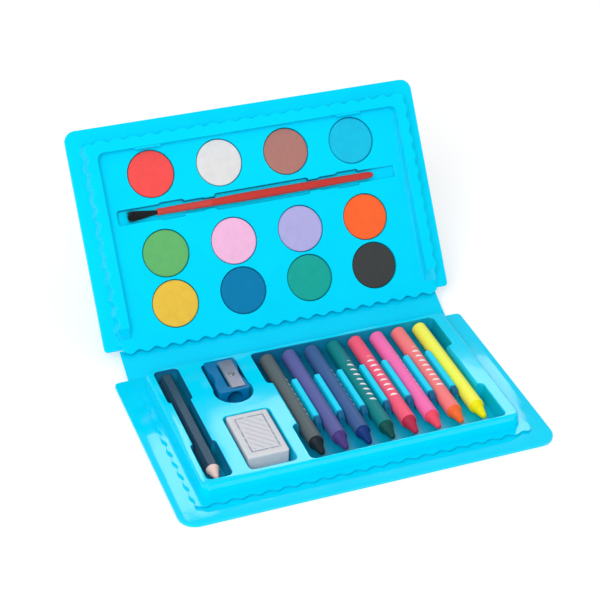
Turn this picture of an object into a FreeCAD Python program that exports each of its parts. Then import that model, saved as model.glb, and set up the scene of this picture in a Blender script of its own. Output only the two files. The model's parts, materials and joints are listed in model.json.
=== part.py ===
import FreeCAD, Part
import math
import os
from FreeCAD import Vector, Rotation, Placement

# Folding art case, in millimetres. X across the case, Y from the front edge to the fold, Z up.
# The underside of the base is on Z = 0 and its middle is the origin.

# Rounds are drawn with even flats that lie this close to the true round
ROUND_ERROR = 0.08

# Case panels
CASE_WIDTH = 200.0
PANEL_DEPTH = 119.0
COVER_THICK = 1.2
SHEET = 0.8
BASE_CORNER = 9.0
LID_CORNER = 6.0
FOLD_CORNER = 2.0

# Folds between base, spine and lid
SPINE_WIDTH = 184.0
SPINE_LENGTH = 18.0
FOLD_GAP = 0.3
SPINE_LEAN = 26.0
LID_LEAN = 54.9

# Formed sheet
DRAFT = math.tan(math.radians(5.0))
MOUTH_EDGE = 0.4
WALL_DRAFT = math.tan(math.radians(8.0))
WAVE_HEIGHT = 0.75
WAVE_LENGTH = 9.0
WAVE_MARGIN = 10.2

# Raised platform in the base
LEDGE_RISE = 1.4
PLATFORM_RISE = 9.0
PLATFORM_WIDTH = 170.0
PLATFORM_FRONT = 15.6
PLATFORM_BACK = 7.0
PLATFORM_CORNER = 4.0
PLATFORM_EDGE = 1.0
LEDGE_BACK = 2.6

# Lid rim and paint panel
RIM_RISE = 7.6
PANEL_RISE = 2.6
NEST_SIDE = 0.8
NEST_FRONT = 1.2
RIM_START = 5.0
RIM_SLOPE = 1.2
RIM_CORNER = 4.0
RIM_CREST = 6.5
SNAP_LENGTH = 14.0
SNAP_HEIGHT = 2.0
SNAP_REACH = 1.1
SNAP_CORNER = 0.3
SCALLOP_SETBACK = 0.85

# Paint cakes in the lid
PAINT_NAMES = (
    ("red", "white", "brown", "sky"),
    ("green", "pink", "lilac", "orange"),
    ("yellow", "blue", "teal", "black"),
)
PAINT_ROWS = (89.7, 46.6, 19.2)
PAINT_PITCH = 38.5
PAINT_DIAMETER = 24.8
PAINT_CLEARANCE = 0.7
PAINT_SINK = 0.3
PAINT_EDGE = 0.5

# Brush
BRUSH_ROW = 69.0
BRUSH_TIP = -75.5
BRUSH_FERRULE_START = -58.5
BRUSH_HANDLE_START = -28.2
BRUSH_END = 66.8
BRUSH_BELLY = 2.4
BRUSH_NECK = 2.0
BRUSH_TAIL = 1.9
FERRULE_MOUTH = 1.8
BRISTLE_TIP_WIDTH = 6.2
BRISTLE_TIP_THICK = 1.2
BRISTLE_ROOT_WIDTH = 3.2
BRISTLE_ROOT_THICK = 2.4
SLOT_END = 79.9
SLOT_STEPS = (
    (-SLOT_END, -55.4, 7.6),
    (-55.4, -44.1, 9.0),
    (-44.1, -32.3, 6.6),
    (-32.3, -24.1, 5.6),
    (-24.1, 27.4, 8.6),
    (27.4, 35.8, 5.6),
    (35.8, 46.5, 6.8),
    (46.5, 57.0, 8.6),
    (57.0, SLOT_END, 6.2),
)
SLOT_CORNER = 1.0

# Crayons
CRAYON_NAMES = ("grey", "purple", "blue", "green", "red", "pink", "orange", "yellow")
CRAYON_MIDDLE = 25.0
CRAYON_PITCH = 12.7
CRAYON_DIAMETER = 8.0
WRAPPER_THICK = 0.2
CRAYON_BUTT = 48.0
CRAYON_TIP = -35.0
WRAPPER_FRONT = -25.0
WRAPPER_BACK = 47.3
SHOULDER = 2.2
SHOULDER_SLOPE = 0.6
WAX_EDGE = 0.6
TIP_ROOT = 3.05
TIP_END = 1.5
REST_GAP = 0.3
DIVIDER_TOP = 3.0
DIVIDER_SINK = 0.8
DIVIDER_FRONT = -13.8
DIVIDER_BACK = 22.3
CRAYON_END_GAP = 2.2
CRAYON_POCKET_FRONT = -42.0
CRAYON_POCKET_BACK = 49.5
POCKET_CORNER = 2.5

# Pencil
PENCIL_X = -74.7
PENCIL_FLATS = 7.0
PENCIL_BACK = 49.3
PENCIL_TIP = -37.5
PENCIL_CONE = math.tan(math.radians(20.0))
LEAD_RADIUS = 1.1
LEAD_POINT = 0.2
PENCIL_WELL_WIDTH = 13.0
PENCIL_NECK_WIDTH = 9.8
PENCIL_SLOT_FRONT = -40.1
PENCIL_SLOT_BACK = 50.6
PENCIL_NECK_FRONT = -12.0
PENCIL_NECK_BACK = 22.6

# Sharpener
SHARPENER_X = -46.6
SHARPENER_WIDTH = 16.6
SHARPENER_FRONT = 19.6
SHARPENER_LENGTH = 27.8
SHARPENER_HEIGHT = 11.0
SHARPENER_POCKET_WIDTH = 18.8
SHARPENER_POCKET_BACK = 48.5
SHARPENER_WELL_Y = 22.4
SHARPENER_WELL_RADIUS = 10.4
GRIP_RADIUS = 15.0
GRIP_DEPTH = 1.5
BORE_MOUTH = 4.2
BORE_END = 1.4
BORE_DEPTH = 24.0
BORE_HEIGHT = 6.2
BLADE_WIDTH = 7.8
BLADE_LENGTH = 23.4
BLADE_THICK = 0.9
BLADE_SINK = 0.5
BLADE_OFFSET = 2.6
CHIP_SLOT = 1.2
CHIP_MARGIN = 2.0
SCREW_HEAD = 2.0
SCREW_HEAD_RISE = 0.7
SCREW_SHANK = 1.0
SCREW_LENGTH = 3.0
SCREW_SLOT = 0.5

# Eraser
ERASER_X = -46.9
ERASER_WIDTH = 21.8
ERASER_FRONT = -32.4
ERASER_LENGTH = 34.6
ERASER_HEIGHT = 9.8
ERASER_EDGE = 1.2
ERASER_POCKET_WIDTH = 24.8
ERASER_POCKET_FRONT = -40.0
ERASER_POCKET_BACK = 3.4

# Sizes that follow from the ones above
HALF_WIDTH = CASE_WIDTH / 2
HALF_DEPTH = PANEL_DEPTH / 2
FOLD_SETBACK = COVER_THICK / 2 + FOLD_GAP
LEDGE_TOP = SHEET + LEDGE_RISE
PLATFORM_TOP = SHEET + PLATFORM_RISE
RIM_TOP = SHEET + RIM_RISE
PANEL_TOP = SHEET + PANEL_RISE
CRAYON_RADIUS = CRAYON_DIAMETER / 2
CRAYON_POCKET_WIDTH = len(CRAYON_NAMES) * CRAYON_PITCH + 2 * CRAYON_END_GAP
WAX_RADIUS = CRAYON_RADIUS - WRAPPER_THICK
CRAYON_AXIS = SHEET + REST_GAP + CRAYON_RADIUS
PENCIL_AXIS = SHEET + REST_GAP + PENCIL_FLATS / 2
BRUSH_AXIS = SHEET + REST_GAP + BRUSH_BELLY
CUT_ABOVE = 2.0


def flats_for(radius):
    """Number of flats, a multiple of four, that keeps a round within ROUND_ERROR."""
    return 4 * math.ceil(math.pi / math.acos(1 - ROUND_ERROR / radius) / 4)


def corner_points(cx, cy, radius, start, spread, z):
    """A quarter round from the start angle; spread pushes it outward and keeps its middle."""
    steps = flats_for(radius) // 4
    points = []
    for k in range(steps + 1):
        angle = math.radians(start + 90 * k / steps)
        reach = radius + spread
        points.append(Vector(cx + reach * math.cos(angle), cy + reach * math.sin(angle), z))
    return points


def wave_points(start, end):
    """A straight side formed into even waves, each with a crest and a trough."""
    run = end - start
    out = Vector(run.y, -run.x, 0).normalize() * WAVE_HEIGHT
    waves = round(run.Length / WAVE_LENGTH)
    points = []
    for i in range(waves):
        for eighth in (1, 2, 3, 5, 6, 7):
            swing = math.sin(math.pi * eighth / 4)
            points.append(start + run * ((i + eighth / 8) / waves) + out * swing)
    return points


def outline(x0, x1, y0, y1, front, back, z, spread=0, wavy=()):
    """Rectangle with round corners, pushed outward by spread; the sides named in wavy get waves."""
    rounds = (
        corner_points(x1 - front, y0 + front, front, -90, spread, z),
        corner_points(x1 - back, y1 - back, back, 0, spread, z),
        corner_points(x0 + back, y1 - back, back, 90, spread, z),
        corner_points(x0 + front, y0 + front, front, 180, spread, z),
    )
    points = []
    for i, side in enumerate(("right", "back", "left", "front")):
        points += rounds[i]
        if side in wavy:
            points += wave_points(rounds[i][-1], rounds[(i + 1) % 4][0])
    return points


def flat_face(points):
    return Part.Face(Part.makePolygon(points + points[:1]))


def skinned(rings):
    """Solid with flat faces between closed rings of points, from the first ring up to the last."""
    faces = [flat_face(rings[0][::-1]), flat_face(rings[-1])]
    for low, high in zip(rings, rings[1:]):
        for i in range(len(low)):
            faces.append(flat_face([low[i - 1], low[i], high[i], high[i - 1]]))
    return Part.Solid(Part.Shell(faces))


def plate(x0, x1, y0, y1, front, back, z0, z1):
    return skinned([outline(x0, x1, y0, y1, front, back, z) for z in (z0, z1)])


def formed(x0, x1, y0, y1, corner, levels, wavy=()):
    """Block through outlines at several levels, given as pairs of height and outward spread."""
    return skinned([outline(x0, x1, y0, y1, corner, corner, z, spread, wavy) for z, spread in levels])


def pocket(x0, x1, y0, y1, corner, floor, mouth):
    """Cutting block for a pocket that narrows towards its floor and opens out at its mouth."""
    neck = mouth - MOUTH_EDGE
    return formed(x0, x1, y0, y1, corner,
                  ((floor, -DRAFT * (neck - floor)), (neck, 0), (mouth + CUT_ABOVE, MOUTH_EDGE + CUT_ABOVE)))


def turned(stations, origin, axis, flats):
    """Round solid along an axis from pairs of place and radius."""
    rings = []
    for place, radius in stations:
        points = [Vector(radius * math.cos(2 * math.pi * k / flats),
                         radius * math.sin(2 * math.pi * k / flats), place) for k in range(flats)]
        rings.append(points)
    solid = skinned(rings)
    solid.Placement = Placement(origin, Rotation(Vector(0, 0, 1), axis))
    return solid


def round_pocket(x, y, radius, floor, mouth):
    stations = ((floor, radius - DRAFT * (mouth - floor)), (mouth + CUT_ABOVE, radius + DRAFT * CUT_ABOVE))
    return turned(stations, Vector(x, y, 0), Vector(0, 0, 1), flats_for(radius))


def footing(x0, x1, y0, y1, top):
    """Ground round a pocket that stays when the underside of the sheet is hollowed."""
    return Part.makeBox(x1 - x0 + 2 * SHEET, y1 - y0 + 2 * SHEET, top + CUT_ABOVE,
                        Vector(x0 - SHEET, y0 - SHEET, -CUT_ABOVE))


def join(shapes):
    return shapes[0].multiFuse(shapes[1:]).removeSplitter()


def on_base(shape):
    """Sets a shape drawn on the sheet's level onto the base cover."""
    moved = shape.copy()
    moved.translate(Vector(0, 0, COVER_THICK))
    return moved


def fold_point():
    return Vector(0, HALF_DEPTH + FOLD_SETBACK, COVER_THICK / 2)


def lid_fold_point():
    lean = math.radians(SPINE_LEAN)
    return fold_point() + Vector(0, SPINE_LENGTH * math.cos(lean), SPINE_LENGTH * math.sin(lean))


def on_lid(shape):
    """Sets a shape drawn from the lid's fold edge, on the sheet's level, onto the leaning lid."""
    moved = shape.copy()
    moved.translate(Vector(0, FOLD_SETBACK, COVER_THICK / 2))
    tilt = Placement(lid_fold_point(), Rotation(Vector(1, 0, 0), LID_LEAN))
    moved.Placement = tilt.multiply(moved.Placement)
    return moved


# Covers and spine

def base_panel():
    return plate(-HALF_WIDTH, HALF_WIDTH, -HALF_DEPTH, HALF_DEPTH, BASE_CORNER, FOLD_CORNER,
                 0, COVER_THICK)


def lid_panel():
    return plate(-HALF_WIDTH, HALF_WIDTH, 0, PANEL_DEPTH, FOLD_CORNER, LID_CORNER, -COVER_THICK, 0)


def spine_strip():
    """Strip with a full round along each fold line."""
    half = SPINE_WIDTH / 2
    nose = COVER_THICK / 2
    strip = Part.makeBox(SPINE_WIDTH, SPINE_LENGTH, COVER_THICK, Vector(-half, 0, -nose))
    rounds = [
        Part.makeCylinder(nose, SPINE_WIDTH, Vector(-half, y, 0), Vector(1, 0, 0))
        for y in (0, SPINE_LENGTH)
    ]
    spine = join([strip] + rounds)
    spine.Placement = Placement(fold_point(), Rotation(Vector(1, 0, 0), SPINE_LEAN))
    return spine


# Base tray

def crayon_x(i):
    return CRAYON_MIDDLE + (i - (len(CRAYON_NAMES) - 1) / 2) * CRAYON_PITCH


def crayon_span():
    return CRAYON_MIDDLE - CRAYON_POCKET_WIDTH / 2, CRAYON_MIDDLE + CRAYON_POCKET_WIDTH / 2


def crayon_pockets():
    """Two troughs for the fingers, joined by a groove for each crayon between low dividers."""
    x0, x1 = crayon_span()
    half = (CRAYON_PITCH - DIVIDER_TOP) / 2
    front = DIVIDER_FRONT - half
    back = DIVIDER_BACK + half
    top = PLATFORM_TOP
    cuts = [
        pocket(x0, x1, CRAYON_POCKET_FRONT, DIVIDER_FRONT, POCKET_CORNER, SHEET, top),
        pocket(x0, x1, DIVIDER_BACK, CRAYON_POCKET_BACK, POCKET_CORNER, SHEET, top),
        pocket(crayon_x(0) - half, crayon_x(len(CRAYON_NAMES) - 1) + half, front, back, POCKET_CORNER,
               top - DIVIDER_SINK, top),
    ]
    for i in range(len(CRAYON_NAMES)):
        x = crayon_x(i)
        cuts.append(pocket(x - half, x + half, front, back, POCKET_CORNER, SHEET, top - DIVIDER_SINK))
    return cuts


def pencil_pockets():
    """A slot with a narrow neck between two wide wells."""
    well = PENCIL_WELL_WIDTH / 2
    neck = PENCIL_NECK_WIDTH / 2
    x = PENCIL_X
    top = PLATFORM_TOP
    return [
        pocket(x - well, x + well, PENCIL_SLOT_FRONT, PENCIL_NECK_FRONT, POCKET_CORNER, SHEET, top),
        pocket(x - well, x + well, PENCIL_NECK_BACK, PENCIL_SLOT_BACK, POCKET_CORNER, SHEET, top),
        pocket(x - neck, x + neck, PENCIL_NECK_FRONT - well, PENCIL_NECK_BACK + well, POCKET_CORNER,
               SHEET, top),
    ]


def sharpener_pockets():
    """A pocket with a round well in front of the bore."""
    half = SHARPENER_POCKET_WIDTH / 2
    x = SHARPENER_X
    top = PLATFORM_TOP
    return [
        pocket(x - half, x + half, SHARPENER_WELL_Y, SHARPENER_POCKET_BACK, POCKET_CORNER, SHEET, top),
        round_pocket(x, SHARPENER_WELL_Y, SHARPENER_WELL_RADIUS, SHEET, top),
    ]


def eraser_pocket():
    half = ERASER_POCKET_WIDTH / 2
    return pocket(ERASER_X - half, ERASER_X + half, ERASER_POCKET_FRONT, ERASER_POCKET_BACK,
                  POCKET_CORNER, SHEET, PLATFORM_TOP)


def base_footings():
    x0, x1 = crayon_span()
    pencil = PENCIL_WELL_WIDTH / 2
    well = SHARPENER_WELL_RADIUS
    eraser = ERASER_POCKET_WIDTH / 2
    top = PLATFORM_TOP
    return [
        footing(x0, x1, -HALF_DEPTH, HALF_DEPTH, top),
        footing(PENCIL_X - pencil, PENCIL_X + pencil, -HALF_DEPTH, HALF_DEPTH, top),
        footing(SHARPENER_X - well, SHARPENER_X + well, SHARPENER_WELL_Y - well, SHARPENER_POCKET_BACK, top),
        footing(ERASER_X - eraser, ERASER_X + eraser, ERASER_POCKET_FRONT, ERASER_POCKET_BACK, top),
    ]


def platform(inset, levels):
    half = PLATFORM_WIDTH / 2 - inset
    return formed(-half, half, PLATFORM_FRONT - HALF_DEPTH + inset, HALF_DEPTH - PLATFORM_BACK - inset,
                  PLATFORM_CORNER, levels)


def base_tray():
    """Formed sheet: flange, wavy ledge, drafted platform, and the pockets sunk into it."""
    side = HALF_WIDTH - WAVE_MARGIN
    top = PLATFORM_TOP
    edge = PLATFORM_EDGE
    flange = plate(-HALF_WIDTH, HALF_WIDTH, -HALF_DEPTH, HALF_DEPTH, BASE_CORNER, FOLD_CORNER, 0, SHEET)
    ledge = formed(-side, side, WAVE_MARGIN - HALF_DEPTH, HALF_DEPTH - LEDGE_BACK, POCKET_CORNER,
                   ((0, DRAFT * LEDGE_TOP), (LEDGE_TOP, 0)), ("right", "left", "front"))
    raised = platform(0, ((0, WALL_DRAFT * top), (top - edge, WALL_DRAFT * edge),
                          (top - 0.3 * edge, -0.3 * edge), (top, -edge)))
    hollow = platform(SHEET, ((-CUT_ABOVE, WALL_DRAFT * (top + CUT_ABOVE)), (top - SHEET, 0)))
    body = join([flange, ledge, raised])
    body = body.cut(crayon_pockets() + pencil_pockets() + sharpener_pockets() + [eraser_pocket()])
    return body.cut(hollow.cut(base_footings())).removeSplitter()


# Lid tray

def lid_recess(grow):
    """Space inside the rim, wide enough to take the base's platform."""
    half = PLATFORM_WIDTH / 2 + NEST_SIDE + grow
    end = PANEL_DEPTH - PLATFORM_FRONT + NEST_FRONT + grow
    low = PANEL_TOP - grow
    high = RIM_TOP + CUT_ABOVE
    return formed(-half, half, -HALF_DEPTH, end, RIM_CORNER,
                  ((low, DRAFT * (low - RIM_TOP)), (high, DRAFT * CUT_ABOVE)))


def rim_start(grow):
    """Wedge that ends the rim in a slope beside the fold."""
    low = PANEL_TOP - grow
    high = RIM_TOP + CUT_ABOVE
    start = RIM_START + grow
    points = [
        Vector(-CASE_WIDTH, -HALF_DEPTH, low),
        Vector(-CASE_WIDTH, start, low),
        Vector(-CASE_WIDTH, start + RIM_SLOPE * (high - low), high),
        Vector(-CASE_WIDTH, -HALF_DEPTH, high),
    ]
    return flat_face(points).extrude(Vector(2 * CASE_WIDTH, 0, 0))


def snap_beads():
    """Two beads on the rim's inner wall that grip the front of the platform."""
    wall = PANEL_DEPTH - PLATFORM_FRONT + NEST_FRONT
    high = RIM_TOP - SNAP_HEIGHT / 2
    low = high - SNAP_HEIGHT
    return [
        formed(x - SNAP_LENGTH / 2, x + SNAP_LENGTH / 2, wall - SNAP_REACH, wall + RIM_CREST / 4,
               SNAP_CORNER, ((low, DRAFT * SNAP_HEIGHT), (high, 0)))
        for x in (paint_x(0), paint_x(3))
    ]


def paint_x(column):
    return (column - 1.5) * PAINT_PITCH


def well_radius():
    return PAINT_DIAMETER / 2 + PAINT_CLEARANCE


def paint_wells():
    return [
        round_pocket(paint_x(c), y, well_radius(), SHEET, PANEL_TOP)
        for y in PAINT_ROWS
        for c in range(4)
    ]


def brush_slot():
    """Slot with wide stretches for the fingers and narrow ones that hold the brush."""
    cuts = []
    for start, end, width in SLOT_STEPS:
        lap = SLOT_CORNER + DRAFT * PANEL_TOP
        x0 = start if start == -SLOT_END else start - lap
        x1 = end if end == SLOT_END else end + lap
        cuts.append(pocket(x0, x1, BRUSH_ROW - width / 2, BRUSH_ROW + width / 2, SLOT_CORNER,
                           SHEET, PANEL_TOP))
    return cuts


def lid_footings():
    far, middle, near = PAINT_ROWS
    r = well_radius()
    wide = max(width for start, end, width in SLOT_STEPS) / 2
    blocks = [footing(-SLOT_END, SLOT_END, BRUSH_ROW - wide, BRUSH_ROW + wide, PANEL_TOP)]
    for c in range(4):
        x = paint_x(c)
        blocks.append(footing(x - r, x + r, near - r, middle + r, PANEL_TOP))
        blocks.append(footing(x - r, x + r, far - r, far + r, PANEL_TOP))
    return blocks


def lid_tray():
    """Formed sheet: flange, wavy rim on three sides, paint panel, wells and brush slot."""
    side = PLATFORM_WIDTH / 2 + NEST_SIDE + RIM_CREST
    end = PANEL_DEPTH - PLATFORM_FRONT + NEST_FRONT + RIM_CREST
    start = SCALLOP_SETBACK
    lean = -DRAFT * RIM_RISE
    flange = plate(-HALF_WIDTH, HALF_WIDTH, 0, PANEL_DEPTH, FOLD_CORNER, LID_CORNER, 0, SHEET)
    rim = formed(-side, side, start, end, POCKET_CORNER, ((SHEET / 2, DRAFT * SHEET / 2), (RIM_TOP, lean)),
                 ("right", "back", "left", "front"))
    inset = SHEET + WAVE_HEIGHT
    under_rim = formed(inset - side, side - inset, start + inset, end - inset, POCKET_CORNER,
                       ((-CUT_ABOVE, 0), (RIM_TOP - SHEET, lean)))
    raised = rim.cut([lid_recess(0), rim_start(0)])
    body = join([flange, raised] + snap_beads()).cut(paint_wells() + brush_slot())
    hollow = under_rim.cut([lid_recess(SHEET), rim_start(SHEET)] + lid_footings())
    return body.cut(hollow).removeSplitter()


def paint_cake(column, y):
    """Pressed cake with a broken edge."""
    radius = PAINT_DIAMETER / 2
    top = PANEL_TOP - PAINT_SINK
    stations = ((SHEET, radius), (top - PAINT_EDGE, radius), (top, radius - PAINT_EDGE))
    return turned(stations, Vector(paint_x(column), y, 0), Vector(0, 0, 1), flats_for(radius))


# Brush

def along_brush(stations):
    return turned(stations, Vector(0, BRUSH_ROW, BRUSH_AXIS), Vector(1, 0, 0), flats_for(BRUSH_BELLY))


def brush_handle():
    run = BRUSH_END - BRUSH_HANDLE_START
    share = (
        (0.0, BRUSH_NECK), (0.10, 0.5 * (BRUSH_NECK + BRUSH_BELLY)), (0.25, BRUSH_BELLY),
        (0.45, 0.97 * BRUSH_BELLY), (0.70, 0.5 * (BRUSH_BELLY + BRUSH_TAIL)), (0.95, BRUSH_TAIL),
        (0.985, 0.8 * BRUSH_TAIL), (1.0, 0.4 * BRUSH_TAIL),
    )
    return along_brush([(BRUSH_HANDLE_START + s * run, r) for s, r in share])


def brush_ferrule():
    run = BRUSH_HANDLE_START - BRUSH_FERRULE_START
    groove = 0.9 * BRUSH_NECK
    share = (
        (0.0, FERRULE_MOUTH), (0.55, BRUSH_NECK), (0.58, groove), (0.62, groove), (0.65, BRUSH_NECK),
        (1.0, BRUSH_NECK),
    )
    return along_brush([(BRUSH_FERRULE_START + s * run, r) for s, r in share])


def bristle_section(x, width, thick):
    points = []
    for k in range(12):
        angle = 2 * math.pi * k / 12
        points.append(Vector(x, BRUSH_ROW + width / 2 * math.cos(angle),
                             BRUSH_AXIS + thick / 2 * math.sin(angle)))
    return Part.makePolygon(points + points[:1])


def brush_bristles():
    """Flat tuft that fans out from the ferrule."""
    run = BRUSH_FERRULE_START - BRUSH_TIP
    sections = [
        bristle_section(BRUSH_FERRULE_START, BRISTLE_ROOT_WIDTH, BRISTLE_ROOT_THICK),
        bristle_section(BRUSH_FERRULE_START - 0.55 * run,
                        0.4 * BRISTLE_ROOT_WIDTH + 0.6 * BRISTLE_TIP_WIDTH,
                        0.5 * (BRISTLE_ROOT_THICK + BRISTLE_TIP_THICK)),
        bristle_section(BRUSH_TIP, BRISTLE_TIP_WIDTH, BRISTLE_TIP_THICK),
    ]
    return Part.makeLoft(sections, True, True)


# Crayons and pencil

def crayon_solid(i, stations):
    return turned(stations, Vector(crayon_x(i), 0, CRAYON_AXIS), Vector(0, 1, 0), flats_for(CRAYON_RADIUS))


def crayon_stick(i):
    """Wax stick: blunt cone, shoulder, straight body and plain butt."""
    shoulder = WRAPPER_FRONT - SHOULDER
    return crayon_solid(i, (
        (CRAYON_TIP, 0.6 * TIP_END), (CRAYON_TIP + 0.5 * TIP_END, TIP_END),
        (shoulder, TIP_ROOT), (shoulder + SHOULDER_SLOPE, WAX_RADIUS),
        (CRAYON_BUTT - WAX_EDGE, WAX_RADIUS), (CRAYON_BUTT, WAX_RADIUS - WAX_EDGE),
    ))


def crayon_wrapper(i):
    outer = crayon_solid(i, ((WRAPPER_FRONT, CRAYON_RADIUS), (WRAPPER_BACK, CRAYON_RADIUS)))
    return outer.cut(crayon_solid(i, ((WRAPPER_FRONT, WAX_RADIUS), (WRAPPER_BACK, WAX_RADIUS))))


def pencil_cone(low, high, shaft=0):
    """Sharpened end between two radii, with a plain shaft behind it; four flats to a side of the barrel."""
    stations = [(low / PENCIL_CONE, low), (high / PENCIL_CONE, high)]
    if shaft:
        stations.append((high / PENCIL_CONE + shaft, high))
    return turned(stations, Vector(PENCIL_X, PENCIL_TIP, PENCIL_AXIS), Vector(0, 1, 0), 24)


def pencil_barrel():
    """Six-sided barrel; the sharpening cone leaves a scalloped front edge."""
    corner = PENCIL_FLATS / math.sqrt(3)
    start = PENCIL_TIP + PENCIL_FLATS / 2 / PENCIL_CONE
    points = [
        Vector(PENCIL_X + corner * math.cos(math.radians(60 * k)), start,
               PENCIL_AXIS + corner * math.sin(math.radians(60 * k)))
        for k in range(6)
    ]
    rod = flat_face(points).extrude(Vector(0, PENCIL_BACK - start, 0))
    return rod.common(pencil_cone(PENCIL_FLATS / 3, PENCIL_FLATS, PENCIL_BACK - PENCIL_TIP))


def pencil_wood():
    return pencil_cone(LEAD_RADIUS, PENCIL_FLATS / 2)


def pencil_lead():
    return pencil_cone(LEAD_POINT, LEAD_RADIUS)


# Sharpener

def blade_middle():
    return SHARPENER_X + BLADE_OFFSET, SHARPENER_FRONT + SHARPENER_LENGTH / 2


def sharpener_body():
    """Block with finger hollows, a tapered bore from the front and a slot under the blade's edge."""
    half = SHARPENER_WIDTH / 2
    x = SHARPENER_X
    y = SHARPENER_FRONT
    top = SHEET + SHARPENER_HEIGHT
    block = plate(x - half, x + half, y, y + SHARPENER_LENGTH, 1.2, 1.2, SHEET, top)
    reach = half + GRIP_RADIUS - GRIP_DEPTH
    cuts = [
        Part.makeCylinder(GRIP_RADIUS, SHARPENER_HEIGHT,
                          Vector(x + side * reach, y + SHARPENER_LENGTH / 2, SHEET))
        for side in (-1, 1)
    ]
    cuts.append(turned(((0, BORE_MOUTH), (BORE_DEPTH, BORE_END)), Vector(x, y, SHEET + BORE_HEIGHT),
                       Vector(0, 1, 0), flats_for(BORE_MOUTH)))
    bx, by = blade_middle()
    seat = Part.makeBox(BLADE_WIDTH, BLADE_LENGTH, BLADE_THICK,
                        Vector(bx - BLADE_WIDTH / 2, by - BLADE_LENGTH / 2, top - BLADE_SINK))
    chips = Part.makeBox(CHIP_SLOT, BLADE_LENGTH - 2 * CHIP_MARGIN, SHARPENER_HEIGHT - BORE_HEIGHT,
                         Vector(bx - BLADE_WIDTH / 2 - CHIP_SLOT, by - BLADE_LENGTH / 2 + CHIP_MARGIN,
                                SHEET + BORE_HEIGHT))
    return block.cut(cuts + [seat, chips, screw_shank()])


def sharpener_blade():
    bx, by = blade_middle()
    low = SHEET + SHARPENER_HEIGHT - BLADE_SINK
    blade = Part.makeBox(BLADE_WIDTH, BLADE_LENGTH, BLADE_THICK,
                         Vector(bx - BLADE_WIDTH / 2, by - BLADE_LENGTH / 2, low))
    edge = [e for e in blade.Edges
            if all(v.Z > low + 0.1 and v.X < bx for v in e.Vertexes)]
    ground = blade.makeChamfer(0.6 * BLADE_THICK, edge)
    return ground.cut(screw_shank())


def screw_seat():
    return SHEET + SHARPENER_HEIGHT - BLADE_SINK + BLADE_THICK


def along_screw(stations):
    bx, by = blade_middle()
    return turned(stations, Vector(bx, by, screw_seat()), Vector(0, 0, 1), flats_for(SCREW_HEAD))


def screw_shank():
    return along_screw(((-SCREW_LENGTH, SCREW_SHANK), (0, SCREW_SHANK)))


def sharpener_screw():
    bx, by = blade_middle()
    rise = SCREW_HEAD_RISE
    head = along_screw(((0, SCREW_HEAD), (0.7 * rise, 0.75 * SCREW_HEAD), (rise, 0.4 * SCREW_HEAD)))
    slot = Part.makeBox(SCREW_SLOT, 2 * SCREW_HEAD, rise,
                        Vector(bx - SCREW_SLOT / 2, by - SCREW_HEAD, screw_seat() + 0.4 * rise))
    return join([head, screw_shank()]).cut(slot)


def eraser_block():
    half = ERASER_WIDTH / 2
    top = SHEET + ERASER_HEIGHT
    edge = 0.5 * ERASER_EDGE
    return formed(ERASER_X - half, ERASER_X + half, ERASER_FRONT, ERASER_FRONT + ERASER_LENGTH, ERASER_EDGE,
                  ((SHEET, 0), (top - edge, 0), (top, -edge)))


def all_nodes():
    nodes = {
        "base_panel": base_panel(),
        "base_tray": on_base(base_tray()),
        "spine_strip": spine_strip(),
        "lid_panel": on_lid(lid_panel()),
        "lid_tray": on_lid(lid_tray()),
        "brush_handle": on_lid(brush_handle()),
        "brush_ferrule": on_lid(brush_ferrule()),
        "brush_bristles": on_lid(brush_bristles()),
        "pencil_barrel": on_base(pencil_barrel()),
        "pencil_wood": on_base(pencil_wood()),
        "pencil_lead": on_base(pencil_lead()),
        "sharpener_body": on_base(sharpener_body()),
        "sharpener_blade": on_base(sharpener_blade()),
        "sharpener_screw": on_base(sharpener_screw()),
        "eraser_block": on_base(eraser_block()),
    }
    for names, y in zip(PAINT_NAMES, PAINT_ROWS):
        for column, name in enumerate(names):
            nodes["paint_" + name] = on_lid(paint_cake(column, y))
    for i, name in enumerate(CRAYON_NAMES):
        nodes["crayon_" + name + "_stick"] = on_base(crayon_stick(i))
        nodes["crayon_" + name + "_wrapper"] = on_base(crayon_wrapper(i))
    return nodes


os.makedirs("parts", exist_ok=True)
for node, shape in all_nodes().items():
    shape.exportStep("parts/" + node + ".step")
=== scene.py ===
import bpy
import json
import math
import random
from mathutils import Matrix, Vector

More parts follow.
